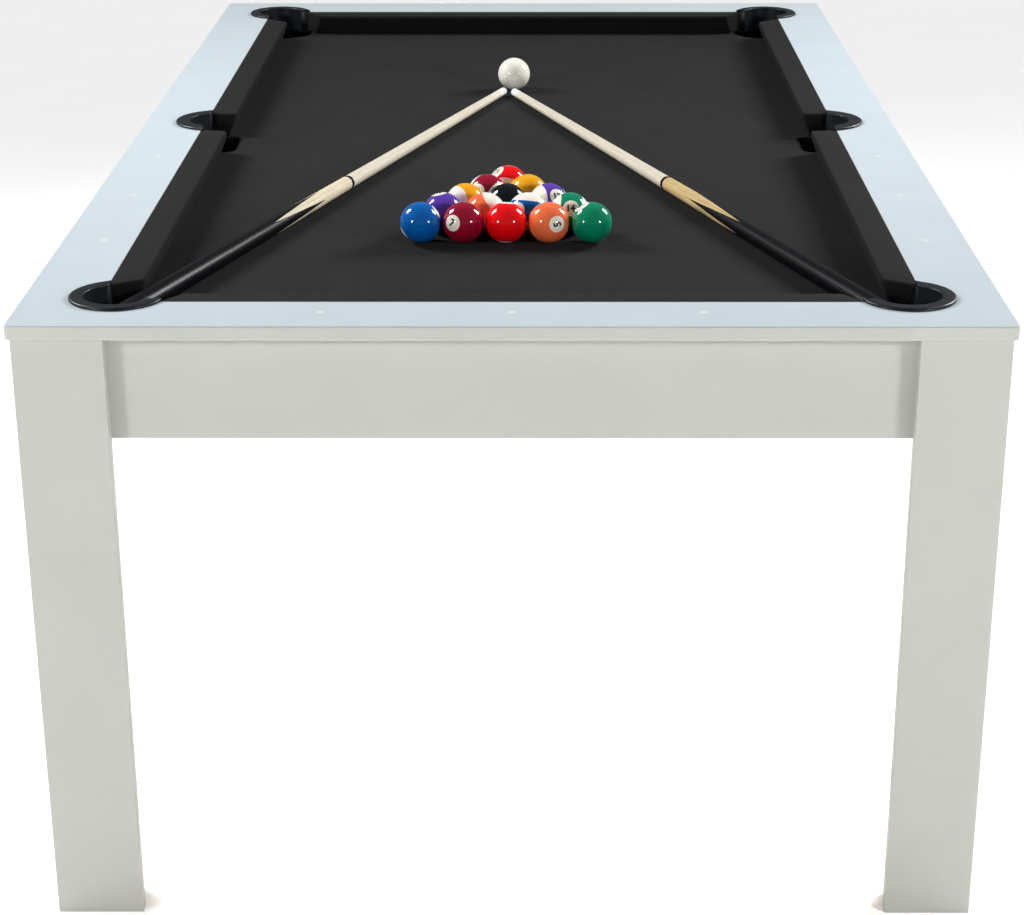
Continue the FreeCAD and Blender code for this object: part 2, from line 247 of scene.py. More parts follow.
def laminateFinish(name, top, side):
    # melamine-faced board, pressed on a satin plate: an even pale skin with a faint orange peel;
    #     # faces that look up can take a tone of their own, which is painted cool light falling from
    #     above
    made, tree, shader = newMaterial(name, {"IOR": 1.48, "Specular IOR Level": 0.22})
    cloud = fromNoise(tree, grain(tree, laminate["cloud"]))
    normal = add(tree, "NewGeometry").outputs["True Normal"]
    faceUp = add(tree, "SeparateXYZ", {}, {0: normal}).outputs[2]
    # the more a face looks up, the more it takes the top tone: painted overhead light, not a colour of
    # the board
    paintedTopLightShare = spread(tree, faceUp, *laminate["paintedTopLightSpan"])
    paintedTopLightTone = twoTones(tree, cloud, *top)
    sideTone = twoTones(tree, cloud, *side)
    peel = grain(tree, laminate["peel"], detail=2)
    finishWith(tree, shader, twoTones(tree, paintedTopLightShare, sideTone, paintedTopLightTone),
               spread(tree, peel, 0.25, 0.75, *laminate["gloss"]), peel, laminate["peelDepth"])
    return made


clothWeave = {
    "clothTones": ("#191919", "#222222"), "cushionTones": ("#181819", "#212122"),
    "fibre": 0.55, "fibreLength": 6, "fibreShare": 0.6, "clump": 3.0, "cloud": 120, "cloudShare": 0.5,
    "mixed": (0.75, 1.35), "depth": 0.12, "strength": 0.8,
}


def clothFinish(name, tones):
    # worsted wool with a short brushed nap: matt black, with short fibres lying along the table
    made, tree, shader = newMaterial(name, {"Roughness": 0.95, "Sheen Weight": 0.02,
                                            "Sheen Roughness": 0.5, "Specular IOR Level": 0.06})
    fibres = grain(tree, clothWeave["fibre"], (1, clothWeave["fibreLength"], 1), 2)
    clumps = grain(tree, clothWeave["clump"], detail=4)
    cloud = grain(tree, clothWeave["cloud"], detail=2)
    lint = sumOf(tree, fibres, clothWeave["fibreShare"], clumps)
    mixed = sumOf(tree, cloud, clothWeave["cloudShare"], lint)
    finishWith(tree, shader, twoTones(tree, spread(tree, mixed, *clothWeave["mixed"]), *tones),
               height=lint, depth=clothWeave["depth"], strength=clothWeave["strength"])
    return made


def sumOf(tree, value, share, other):
    # value * share + other
    return add(tree, "Math", {"operation": "MULTIPLY_ADD", 1: share}, {0: value, 2: other}).outputs[0]


# each grain is (size in mm, detail); gloss is roughness, from its least to its most; depth is in mm
# moulded ABS with a fine spark texture: near black, half gloss
plastic = {"grains": ((25, 2), (0.7, 2)), "span": sharper, "depth": 0.01, "shader": {
    "IOR": 1.52, "Specular IOR Level": 0.3, "Coat Weight": 0.04, "Coat Roughness": 0.2}}
# planed softwood: straw-coloured with darker growth lines along the stick
timber = {"tones": ("#B98F5C", "#D9BC8C"), "grains": ((5, 4), (0.8, 2)), "span": sharper,
          "gloss": (0.55, 0.75), "depth": 0.06}
# bare medium density fibreboard: brown felted fibres, sanded flat
fibreboard = {"tones": ("#8A6A48", "#A98A62"), "grains": ((2.2, 6),), "gloss": (0.7, 0.85), "depth": 0.05}
# pearl inlay, polished: pale with a slow silky drift of tone
pearl = {"tones": ("#F1F2EE", "#FFFDF6"), "grains": ((3, 2),), "stretch": (1, 2, 1), "span": sharper,
         "gloss": (0.15, 0.25), "depth": 0.01,
         "shader": {"IOR": 1.6, "Coat Weight": 0.5, "Coat Roughness": 0.08}}
# zinc-plated steel: cool silver with small crystal patches
steel = {"crystal": 2.5, "fine": 0.4, "gloss": (0.28, 0.42), "depth": 0.01}


def grainFinish(name, stuff, **changes):
    # two tones that drift with one noise, and a gloss and relief that follow a finer one or the same
    look = {"stretch": (1, 1, 1), "span": wide, "shader": {"IOR": 1.5}, **stuff, **changes}
    made, tree, shader = newMaterial(name, look["shader"])
    noises = [grain(tree, size, look["stretch"], detail) for size, detail in look["grains"]]
    tone = twoTones(tree, spread(tree, noises[0], *look["span"]), *look["tones"])
    relief = noises[-1] if look["depth"] else None
    finishWith(tree, shader, tone, fromNoise(tree, noises[-1], *look["gloss"]), relief, look["depth"])
    return made


def steelFinish(name, tones):
    made, tree, shader = newMaterial(name, {"Metallic": 1.0})
    where = add(tree, "TexCoord").outputs["Object"]
    crystal = add(tree, "TexVoronoi", {"Scale": perMetre(steel["crystal"])}, {"Vector": where})
    patch = add(tree, "SeparateColor", {}, {0: crystal.outputs["Color"]}).outputs[0]
    finishWith(tree, shader, twoTones(tree, patch, *tones), spread(tree, patch, 0, 1, *steel["gloss"]),
               grain(tree, steel["fine"]), steel["depth"])
    return made


def keepNode(name, material):
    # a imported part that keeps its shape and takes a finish
    mesh = nodes[name].data
    mesh.materials.clear()
    mesh.materials.append(material)


print("finishes for the packed parts")
# the rails' top faces take the bluer top tone, which is painted cool light from above
railLaminate = laminateFinish("railLaminate", laminate["railTop"], laminate["railBand"])
panelLaminate = laminateFinish("panelLaminate", laminate["panel"], laminate["panel"])
clothBlack = clothFinish("clothBlack", clothWeave["clothTones"])
cushionBlack = clothFinish("cushionBlack", clothWeave["cushionTones"])
rimPlastic = grainFinish("rimPlastic", plastic, tones=("#0F141B", "#141A22"), gloss=(0.36, 0.46))
cupPlastic = grainFinish("cupPlastic", plastic, tones=("#050609", "#0B0D12"), gloss=(0.18, 0.3))
boltZinc = steelFinish("boltZinc", ("#A9AEB4", "#C9CDD1"))
footSteel = steelFinish("footSteel", ("#74787C", "#8F9499"))
beamTimber = grainFinish("beamTimber", timber, stretch=(25, 1, 1))
cleatTimber = grainFinish("cleatTimber", timber, stretch=(1, 25, 1))
blockTimber = grainFinish("blockTimber", timber, stretch=(1, 1, 25))
boardFibre = grainFinish("boardFibre", fibreboard)
sightPearl = grainFinish("sightPearl", pearl)

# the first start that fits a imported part's name gives its finish
keptFinishes = {
    "rail_sights": sightPearl, "rail_": railLaminate, "apron_": panelLaminate, "leg_bolts": boltZinc,
    "leg_foot_blocks": blockTimber, "leg_": panelLaminate, "foot_inserts": boltZinc,
    "leveller_": footSteel, "cross_beams": beamTimber, "support_cleats": cleatTimber,
    "playfield_board": boardFibre,
}
for nodeName in nodes:
    fitting = [finish for start, finish in keptFinishes.items() if nodeName.startswith(start)]
    if fitting:
        keepNode(nodeName, fitting[0])

# places that several pieces share
railInner = Vector((-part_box("rail_left")[1].x, -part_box("rail_front")[1].y, 0))
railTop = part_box("rail_sights")[1].z
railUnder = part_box("apron_front")[1].z
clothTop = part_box("playfield_cloth")[1].z


cushion = {
    "topDrop": 0.6, "noseDrop": 1.5, "noseRound": 4.4, "undercutStart": 6.5, "undercutRound": 5,
    "foot": 30, "lift": 0.05, "stripGap": 0.15, "stripDip": 0.9, "stripRound": 3, "edgeRound": 0.5,
    "backRound": 1, "noseCorner": 10, "endRound": 3.2, "endSteps": 6, "runSteps": 24, "slant": 30,
    "endRings": (0.66, 0.33, 0.0),
}


def cushionSection(reach, backing):
    # outline of (depth in from the rail's edge, height): top, round nose, undercut face, and the
    # backing strip under the rail
    top = railTop - cushion["topDrop"] * mm
    nose = railTop - cushion["noseDrop"] * mm
    gap = cushion["stripGap"] * mm
    low = clothTop + cushion["lift"] * mm
    dip = cushion["stripDip"] * mm
    corners = [
        (gap, top - dip),
        (2 * dip, top),
        (reach, nose),
        (reach, nose - cushion["undercutStart"] * mm),
        (cushion["foot"] * mm, low),
        (-backing, low),
        (-backing, railUnder - gap),
        (gap, railUnder - gap),
    ]
    edge, back = cushion["edgeRound"], cushion["backRound"]
    radii = [0.3, cushion["stripRound"], cushion["noseRound"], cushion["undercutRound"],
             edge, back, back, edge]
    return roundedOutline(corners, np.array(radii) * mm)


def cushionEnd(depth, reach, backEnd, slope):
    # where the end face stands along the run at a depth: a slanted line, then an arc tangent to it
    # and to the nose
    radius = cushion["noseCorner"] * mm
    lean = math.hypot(1, slope)
    centreDepth = reach - radius
    centreAlong = backEnd + slope * centreDepth + radius * lean
    line = backEnd + slope * depth
    arc = centreAlong - np.sqrt(np.maximum(radius ** 2 - (depth - centreDepth) ** 2, 0))
    return np.where(depth > centreDepth + radius * slope / lean, arc, line)


def makeCushion(node):
    # the section carried along the run; at each end it draws in by r(1 - cos t) while it goes out
    # by r sin t
    low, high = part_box(node)
    across = node in ("cushion_front", "cushion_back")
    run, depthAxis = (0, 1) if across else (1, 0)
    side = 1 if (low + high)[depthAxis] > 0 else -1
    outer = max(abs(low[depthAxis]), abs(high[depthAxis]))
    inner = min(abs(low[depthAxis]), abs(high[depthAxis]))
    edge = railInner[depthAxis]
    reach, backing = edge - inner, outer - edge
    slope = cushion["slant"] * mm / reach
    ends = sorted((low[run], high[run]), key=abs) if not across else (low[run], high[run])
    facing = 1 if ends[1] > 0 else -1
    outline = cushionSection(reach, backing)
    normal = outlineNormals(outline)
    middle = np.array([reach * 0.25, clothTop * 0.62 + railUnder * 0.38])
    rounding = cushion["endRound"] * mm
    t = np.linspace(0, math.pi / 2, cushion["endSteps"])
    inset = rounding * (1 - np.cos(t))
    setBack = rounding * (1 - np.sin(t))
    rings = outline[None] - normal[None] * inset[:, None, None]
    shrunk = middle + (rings[-1:] - middle) * np.array(cushion["endRings"])[:, None, None]
    rings = np.concatenate([rings, shrunk])
    setBack = np.append(setBack, np.zeros(len(shrunk)))[:, None]
    startSlope = slope if across else 0.0
    farBack = abs(ends[1]) - slope * backing
    nearBack = abs(ends[0]) - slope * backing if across else abs(ends[0])
    farAlong = farBack - (cushionEnd(rings[..., 0], reach, 0, slope) + setBack)
    nearAlong = cushionEnd(rings[..., 0], reach, 0, startSlope) + setBack
    nearAlong = nearAlong - nearBack if across else nearAlong + nearBack
    share = np.linspace(0, 1, cushion["runSteps"])[1:-1, None]
    between = nearAlong[0] * (1 - share) + farAlong[0] * share
    along = np.concatenate([nearAlong[::-1], between, farAlong]) * facing
    sections = np.concatenate([rings[::-1], np.repeat(rings[:1], len(between), 0), rings])
    points = np.zeros(along.shape + (3,))
    points[..., run] = along
    points[..., depthAxis] = side * (edge - sections[..., 0])
    points[..., 2] = sections[..., 1]
    skin = surface(points, loopV=True)
    made = piece("cloth_" + node, [skin], [cushionBlack], "table", [node])


print("cushions")
for nodeName in [n for n in nodes if n.startswith("cushion_")]:
    makeCushion(nodeName)


cornerPocket = {
    "rim": 60, "throat": 42, "cup": 61, "line": 17.4, "wallReach": 55, "shelfReach": 52, "turn": 45,
}
sidePocket = {
    "rim": 68, "throat": 46, "cupSize": (41, 52), "cupCorner": 20, "line": 17, "wallReach": 59.2,
    "shelfReach": 49, "turn": 0,
}
pocketSkin = {
    "rimHeight": 4, "outerRound": 2.7, "innerRound": 1.7, "footRound": 0.2, "rimEndIn": 1,
    "wall": 2.6, "wallTop": 1.2, "wallLift": 0.1, "wallGap": 0.12, "edgeRound": 0.1,
    "shelf": 2.6, "shelfLift": 0.4, "shelfGap": 0.05, "shelfCupGap": 0.3, "shelfLeast": 0.5,
    "cupWall": 2.5, "cupTop": 2.4, "cupRound": 9, "lip": (0.2, 0.3, 0.8), "blend": 16, "around": 97,
}


def throatRadius(turnFrom, pocket):
    # smooth larger of the throat's radius and the distance to the line just inside the rail's edge:
    # (R^p + (line / cos(angle from the line's normal))^p)^(1/p)
    p = pocketSkin["blend"]
    away = np.maximum(np.cos(np.abs(turnFrom) - math.radians(pocket["turn"])), 0.05)
    return (pocket["throat"] ** p + (pocket["line"] / away) ** p) ** (1 / p)


def endAngle(pocket, radius):
    return math.radians(pocket["turn"]) + math.acos(pocket["line"] / radius)


def carriedRound(pocket, outline, reach, gap, outerAt):
    # outline of (share of the width from the outer edge, height) carried round the throat's axis, as
    # far each way as a circle of this reach goes to the line: its inner edge stands a gap off the throat
    end = endAngle(pocket, reach)
    angles = np.linspace(-end, end, pocketSkin["around"])
    throat = throatRadius(angles, pocket)
    inner, outer = throat + gap, outerAt(angles, throat)
    radius = outer[:, None] + (inner - outer)[:, None] * outline[None, :, 0]
    rows = np.stack([radius * np.cos(angles)[:, None], radius * np.sin(angles)[:, None],
                     np.broadcast_to(outline[None, :, 1], radius.shape)], -1)
    return surface(capped(rows), loopV=True)


def band(low, high):
    # upright section of a wall or shelf, from its outer edge (0) to its inner edge (1)
    corners = [(0, low), (0, high), (1, high), (1, low)]
    return roundedOutline(corners, [pocketSkin["edgeRound"]] * 4, 3)


def pocketSkins(pocket):
    # rim, throat wall, shelf and drop about the throat's axis, opening towards -X, in mm
    top = railTop / mm
    rimTop = top + pocketSkin["rimHeight"]
    full = pocket["rim"] - pocket["throat"]
    rimCorners = [(0, top), (0, rimTop), (full, rimTop), (full, top)]
    foot = pocketSkin["footRound"]
    rounds = [foot, pocketSkin["outerRound"], pocketSkin["innerRound"], foot]
    rim = roundedOutline(rimCorners, rounds, 8)
    rim[:, 0] /= full
    wall = band(clothTop / mm + pocketSkin["wallLift"], top + pocketSkin["wallTop"])
    shelfTop = clothTop / mm + pocketSkin["shelfLift"]
    shelf = band(shelfTop - pocketSkin["shelf"], shelfTop)
    cup = cupOutline(pocket)
    return [
        carriedRound(pocket, rim, pocket["rim"] - pocketSkin["rimEndIn"], 0,
                     lambda a, throat: 0 * a + pocket["rim"]),
        carriedRound(pocket, wall, pocket["wallReach"], pocketSkin["wallGap"],
                     lambda a, throat: throat + pocketSkin["wall"]),
        carriedRound(pocket, shelf, pocket["shelfReach"], pocketSkin["shelfGap"],
                     lambda a, throat: np.maximum(radiusAt(cup, a) - pocketSkin["shelfCupGap"],
                                                  throat + pocketSkin["shelfLeast"])),
        cupSkin(pocket, cup),
    ]


def circle(radius, count):
    t = np.linspace(0, 2 * math.pi, count, endpoint=False)
    return radius * np.stack([np.cos(t), np.sin(t)], -1)


def roundedBox(halfX, halfY, corner, steps):
    corners = [(halfX, halfY), (-halfX, halfY), (-halfX, -halfY), (halfX, -halfY)]
    return roundedOutline(corners, [corner] * 4, steps)


def cupOutline(pocket):
    # plan of the cup about the throat's axis: a circle, or a box with round corners, shifted
    if "cup" in pocket:
        return circle(pocket["cup"], 96)
    outline = roundedBox(*pocket["cupSize"], pocket["cupCorner"], 18)
    return outline + np.array([pocket["cupShift"], 0])


def radiusAt(outline, angles):
    # distance from the axis to the outline at each angle, its straight sides cut short first
    share = np.linspace(0, 1, 24, endpoint=False)[None, :, None]
    fine = (outline[:, None] * (1 - share) + np.roll(outline, -1, 0)[:, None] * share).reshape(-1, 2)
    at = np.arctan2(fine[:, 1], fine[:, 0])
    order = np.argsort(at)
    return np.interp(angles, at[order], np.hypot(*fine[order].T), period=2 * math.pi)


def cupSkin(pocket, outline):
    # closed shell: up the outside from a rounded foot, over the lip, down the inside to the floor
    low, high = pocket["bottom"], clothTop / mm - pocketSkin["cupTop"]
    wall, curl = pocketSkin["cupWall"], pocketSkin["cupRound"]
    t = np.linspace(0, math.pi / 2, 7)
    outside = np.stack([curl * (1 - np.sin(t)), low + curl * (1 - np.cos(t))], -1)
    least, less, most = pocketSkin["lip"]
    lip = np.array([[0, high - most], [less, high - least], [most, high], [wall - most, high],
                    [wall - less, high - least], [wall, high - most]])
    bend = curl - wall
    inside = np.stack([wall + bend * (1 - np.cos(t)), low + wall + bend * (1 - np.sin(t))], -1)
    profile = np.concatenate([outside, lip, inside])
    normal = outlineNormals(outline)
    plan = outline[None] - normal[None] * profile[:, None, :1]
    heights = np.broadcast_to(profile[:, None, 1:], plan.shape[:2] + (1,))
    skin = surface(capped(np.concatenate([plan, heights], -1), (0.7, 0.35, 0.0)), loopV=True)
    skin["pick"] = 1
    return skin


def makePocket(node):
    low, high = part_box(node)
    isSide = "side" in node
    pocket = dict(sidePocket if isSide else cornerPocket)
    signX = 1 if low.x + high.x > 0 else -1
    signY = 1 if low.y + high.y > 0 else -1
    outerX = max(abs(low.x), abs(high.x)) / mm
    if isSide:
        centre = (outerX - pocket["rim"], 0.0)
        innerX = min(abs(low.x), abs(high.x)) / mm
        pocket["cupShift"] = innerX + pocket["cupSize"][0] + 1 - centre[0]
        turn = 0.0
    else:
        outerY = max(abs(low.y), abs(high.y)) / mm
        centre = (outerX - pocket["cup"] - 1, outerY - pocket["cup"] - 1)
        turn = math.radians(pocket["turn"])
    pocket["bottom"] = low.z / mm
    spin = np.array([[math.cos(turn), math.sin(turn)], [-math.sin(turn), math.cos(turn)]])
    skins = pocketSkins(pocket)
    for skin in skins:
        skin["points"][:, :2] = skin["points"][:, :2] @ spin + centre
        skin["points"] = skin["points"] * (signX * mm, (1 if isSide else signY) * mm, mm)
    piece("liner_" + node, skins, [rimPlastic, cupPlastic], "table", [node])


print("pockets")
for nodeName in [n for n in nodes if n.startswith("pocket_")]:
    makePocket(nodeName)


cloth = {
    "step": 12, "thickness": 1.35, "lipRound": 3, "lipDrop": 9, "holeIn": 0.5, "cutRadius": 60,
    "patchCorner": 86, "patchSide": (86, 96), "puckers": 13, "puckerHeight": 0.5, "puckerReach": 26,
    "patchRows": (1, 0.72, 0.5, 0.34, 0.2, 0.1, 0.0),
}


def evenLine(start, stop):
    count = max(2, round(abs(stop - start) / cloth["step"]) + 1)
    return np.linspace(start, stop, count)


def gridLines(marks):
    # grid positions that pass through every mark, about one step apart
    runs = [evenLine(a, b) for a, b in zip(marks[:-1], marks[1:])]
    return np.concatenate([r[:-1] for r in runs] + [runs[-1][-1:]])


def holePatch(lineX, lineY, window, centre, outline, isSide):
    # net between a hole and the edges of its window: rays from the hole's centre to the window's grid
    # points, then down over the hole's edge by (r(1 - sin t), -r(1 - cos t)) and straight down
    x0, x1, y0, y1 = window
    xs = lineX[(lineX >= x0 - 1e-6) & (lineX <= x1 + 1e-6)]
    ys = lineY[(lineY >= y0 - 1e-6) & (lineY <= y1 + 1e-6)]
    edge = np.concatenate([
        np.stack([xs[:-1], np.full(len(xs) - 1, y0)], -1),
        np.stack([np.full(len(ys) - 1, x1), ys[:-1]], -1),
        np.stack([xs[:0:-1], np.full(len(xs) - 1, y1)], -1),
        np.stack([np.full(len(ys) - 1, x0), ys[:0:-1]], -1),
    ])
    away = edge - centre
    angle = np.arctan2(away[:, 1], away[:, 0])
    out = away / np.linalg.norm(away, axis=1, keepdims=True)
    hole = radiusAt(outline, angle)
    far = np.linalg.norm(away, axis=1)
    near = hole + cloth["lipRound"]
    shares = np.array(cloth["patchRows"])[:, None]
    flat = near + (far - near) * shares
    t = np.linspace(0, math.pi / 2, 6)[1:, None]
    lip = hole + cloth["lipRound"] * (1 - np.sin(t))
    reach = np.concatenate([flat, lip, hole[None] + 0 * t[:1]])
    drop = np.concatenate([0 * flat, -cloth["lipRound"] * (1 - np.cos(t)) + 0 * lip,
                           -cloth["lipDrop"] + 0 * hole[None]])
    if isSide:
        # low puckers: two waves round the hole, dying away with distance and at the window's edge
        fade = np.exp(-(flat - near) / cloth["puckerReach"]) * np.sqrt(1 - shares)
        wave = 0.6 * np.cos(cloth["puckers"] * angle) + 0.4 * np.cos(2.3 * cloth["puckers"] * angle + 1)
        drop[:len(flat)] += cloth["puckerHeight"] * fade * (wave - 0.7)
    plan = centre + out[None] * reach[..., None]
    return np.concatenate([plan, clothTop / mm + drop[..., None]], -1)


def makeCloth():
    # one flat net with a window left open round each hole, and a patch in each window
    low, high = (np.array(corner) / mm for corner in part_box("playfield_cloth"))
    corner, (sideX, sideY) = cloth["patchCorner"], cloth["patchSide"]
    cornerCentre = np.array(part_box("pocket_back_right")[1])[:2] / mm - cornerPocket["cup"] - 1
    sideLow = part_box("pocket_side_right")[0].x / mm
    sideCentre = np.array([sideLow + sidePocket["cupSize"][0] + 1, 0.0])
    marksX = [low[0], -cornerCentre[0] + corner, -sideCentre[0] + sideX, sideCentre[0] - sideX,
              cornerCentre[0] - corner, high[0]]
    marksX = sorted(set(np.round(marksX, 6)))
    marksY = [low[1], -cornerCentre[1] + corner, -sideY, sideY, cornerCentre[1] - corner, high[1]]
    lineX, lineY = gridLines(marksX), gridLines(marksY)
    gridX, gridY = np.meshgrid(lineX, lineY, indexing="ij")
    flat = surface(np.stack([gridX, gridY, np.full(gridX.shape, clothTop / mm)], -1))
    middles = flat["points"][flat["faces"]].mean(1)
    away = np.abs(middles[:, :2])
    inCorner = (away > cornerCentre - corner).all(1)
    inSide = (away[:, 0] > sideCentre[0] - sideX) & (away[:, 1] < sideY)
    keep = ~(inCorner | inSide)
    flat["faces"] = flat["faces"][keep]
    flat["uvs"] = flat["uvs"].reshape(-1, 4, 2)[keep].reshape(-1, 2)
    cornerHole = circle(cornerPocket["cup"] + cloth["holeIn"], 120)
    halfX, halfY = (size + cloth["holeIn"] for size in sidePocket["cupSize"])
    sideHole = roundedBox(halfX, halfY, sidePocket["cupCorner"] + cloth["holeIn"], 24)
    skins = [flat]
    for signX in (-1, 1):
        for signY in (-1, 0, 1):
            isSide = signY == 0
            centre, reachX, hole = (sideCentre, sideX, sideHole) if isSide else (
                cornerCentre, corner, cornerHole)
            centre = centre * (signX, signY)
            spanX = sorted((signX * high[0], centre[0] - signX * reachX))
            spanY = (-sideY, sideY) if isSide else sorted((signY * high[1], centre[1] - signY * corner))
            net = holePatch(lineX, lineY, (*spanX, *spanY), centre, hole, isSide)
            skins.append(surface(net, loopV=True))
    for skin in skins:
        a, b, c = (skin["points"][skin["faces"][:, i]] for i in range(3))
        if np.cross(b - a, c - a)[:, 2].sum() < 0:
            skin["faces"] = skin["faces"][:, ::-1]
        skin["points"] = skin["points"] * mm
    made = piece("stretched_cloth", skins, [clothBlack], "table",
                 ["playfield_cloth"], sheet=True)
    thick = made.modifiers.new("thickness", "SOLIDIFY")
    thick.thickness = cloth["thickness"] * mm
    thick.offset = -1


print("playing cloth")
makeCloth()


ivory = ("#F8F2E4", "#FFFBEF")
ballTones = {
    "yellow": "#F6AA14", "blue": "#0060B4", "red": "#F60612", "purple": "#5E3CAE",
    "orange": "#FF7848", "green": "#008A64", "maroon": "#980A2E", "black": "#0A1016",
}
ballOrder = ("yellow", "blue", "red", "purple", "orange", "green", "maroon", "black")
ballSizes = {
    "around": 72, "rings": 49, "skinIn": 0.06, "discAngle": 23.5, "discBlur": 0.003,
    "stripe": 0.52, "stripeBlur": 0.006, "digit": 15.2, "pairDigit": 0.86, "bold": 0.5,
    "inkLift": 0.05, "inkDepth": 0.12, "inkStep": 0.9,
}
resin = {"swirl": 9, "scuff": 0.8, "gloss": (0.05, 0.09), "dye": (0.94, 1.06), "depth": 0.002}
# black number filled into the resin and polished with it
ink = {"tones": ("#0B0B0C", "#17171A"), "grains": ((0.8, 3),), "span": (0, 1), "gloss": (0.06, 0.12),
       "depth": 0, "shader": {"IOR": 1.6}}
# Which way each ball's number looks, as (right, up, towards the front end) for a viewer who looks
# down at the rack by the tilt below.  A striped ball's pole is the middle of one of its white caps.
rackTilt = math.radians(21.3)
ballFaces = {
    1: {"disc": (-0.3, -0.75, 0.58)},
    2: {"disc": (0.843, 0.531, 0.09), "turn": 20},
    3: {"disc": (0.04, 0.99, 0.12)},
    4: {"disc": (-0.22, 0.95, 0.21)},
    5: {"disc": (0.411, -0.181, 0.893), "turn": 108},
    6: {"disc": (-0.52, 0.8, 0.3), "turn": -20},
    7: {"disc": (-0.52, -0.12, 0.845), "turn": -30},
    8: {"disc": (-0.1, -0.8, 0.58)},
    9: {"disc": (-0.483, 0.749, -0.453), "pole": (-0.762, -0.105, 0.639)},
    10: {"disc": (-0.53, 0.03, 0.85), "pole": (0.113, 0.993, 0.0)},
    11: {"disc": (-0.59, 0.635, 0.5), "pole": (-0.12, -0.71, 0.69)},
    12: {"disc": (0.46, 0.26, 0.85), "pole": (-0.88, 0.0, 0.45)},
    13: {"disc": (-0.235, 0.652, -0.72), "pole": (0.775, 0.574, 0.267)},
    14: {"disc": (0.06, 0.12, 0.99), "pole": (-0.985, 0.1, 0.05)},
    15: {"disc": (-0.5, 0.02, 0.866), "pole": (-0.766, 0.442, -0.466)},
}


def resinFinish(name, tone, striped):
    # cast phenolic resin, ground and polished: deep even colour under a hard wet gloss
    made, tree, shader = newMaterial(name, {"IOR": 1.5})
    swirl = grain(tree, resin["swirl"], detail=3)
    scuff = grain(tree, resin["scuff"], detail=4)
    cream = twoTones(tree, spread(tree, swirl, *sharper), *ivory)
    body = cream
    if tone:
        shade = spread(tree, swirl, 0, 1, *resin["dye"])
        body = add(tree, "HueSaturation", {"Color": linear(tone)}, {"Value": shade}).outputs[0]
    if striped:
        caps = nearPoles(tree, "pole", ballSizes["stripe"], ballSizes["stripeBlur"])
        body = twoTones(tree, caps, body, cream)
    if tone:
        edge = math.cos(math.radians(ballSizes["discAngle"]))
        discs = nearPoles(tree, "disc", edge, ballSizes["discBlur"])
        body = twoTones(tree, discs, body, cream)
    finishWith(tree, shader, body, fromNoise(tree, scuff, *resin["gloss"]), scuff, resin["depth"])
    return made


def nearPoles(tree, name, edge, blur):
    # 1 at both ends of the axis that the attribute is the cosine to, 0 between them
    apart = add(tree, "Math", {"operation": "ABSOLUTE"}, {0: attributeOf(tree, name)}).outputs[0]
    return spread(tree, apart, edge - blur, edge + blur)


def unit(vector):
    vector = np.array(vector, float)
    return vector / np.linalg.norm(vector)


def fromViewer(direction):
    # (right, up, towards) of a viewer looking down by the tilt, as +X, +Y, +Z
    right, up, towards = direction
    c, s = math.cos(rackTilt), math.sin(rackTilt)
    return unit((right, up * s - towards * c, up * c + towards * s))


def numberSkin(text, centre, radius, disc, upHint):
    # the number's solid wrapped on the ball: a point (x, y) off the disc's middle goes to the angle
    # hypot(x, y) / R from it, and its height z becomes distance from the ball's centre
    curve = bpy.data.curves.new("number", "FONT")
    curve.body = text
    curve.align_x, curve.align_y = "CENTER", "CENTER"
    curve.size = ballSizes["digit"] * mm * (ballSizes["pairDigit"] if len(text) > 1 else 1)
    curve.offset = ballSizes["bold"] * mm
    curve.extrude = ballSizes["inkDepth"] * mm
    curve.resolution_u = 4
    holder = bpy.data.objects.new("number", curve)
    mesh = bpy.data.meshes.new_from_object(holder)
    work = bmesh.new()
    work.from_mesh(mesh)
    bmesh.ops.remove_doubles(work, verts=work.verts, dist=0.01 * mm)
    bmesh.ops.triangulate(work, faces=work.faces)
    for _ in range(4):
        long = [e for e in work.edges if e.calc_length() > ballSizes["inkStep"] * mm]
        if long:
            bmesh.ops.subdivide_edges(work, edges=long, cuts=1)
            bmesh.ops.triangulate(work, faces=work.faces)
    bmesh.ops.dissolve_degenerate(work, edges=work.edges, dist=0.005 * mm)
    bmesh.ops.triangulate(work, faces=work.faces)
    work.verts.index_update()
    points = np.array([v.co for v in work.verts])
    triangles = np.array([[v.index for v in f.verts] for f in work.faces])
    work.free()
    bpy.data.objects.remove(holder)
    bpy.data.curves.remove(curve)
    bpy.data.meshes.remove(mesh)
    middle = (points.max(0) + points.min(0)) / 2
    x, y = (points[:, :2] - middle[:2]).T
    right = unit(np.cross(upHint, disc))
    up = np.cross(disc, right)
    apart = np.maximum(np.hypot(x, y), 1e-9)
    angle = apart / radius
    sideways = (x / apart)[:, None] * right + (y / apart)[:, None] * up
    above, below = ballSizes["inkLift"] * mm, -ballSizes["inkDepth"] * mm
    lift = radius + np.where(points[:, 2] > 0, above, below)
    way = np.cos(angle)[:, None] * disc + np.sin(angle)[:, None] * sideways
    return threeQuadsEach(centre + lift[:, None] * way, triangles)


def threeQuadsEach(points, triangles):
    # each triangle cut into three quads at its middle and the middles of its sides
    sides = np.sort(np.stack([triangles, np.roll(triangles, -1, 1)], -1), -1).reshape(-1, 2)
    pairs, which = np.unique(sides, axis=0, return_inverse=True)
    which = which.reshape(-1, 3) + len(points)
    centres = np.arange(len(triangles)) + len(points) + len(pairs)
    everything = np.concatenate([points, points[pairs].mean(1), points[triangles].mean(1)])
    faces = np.stack([triangles, which, np.broadcast_to(centres[:, None], triangles.shape),
                      np.roll(which, 1, 1)], -1).reshape(-1, 4)
    return {"points": everything, "faces": faces, "uvs": np.zeros((len(faces) * 4, 2)), "pick": 1}


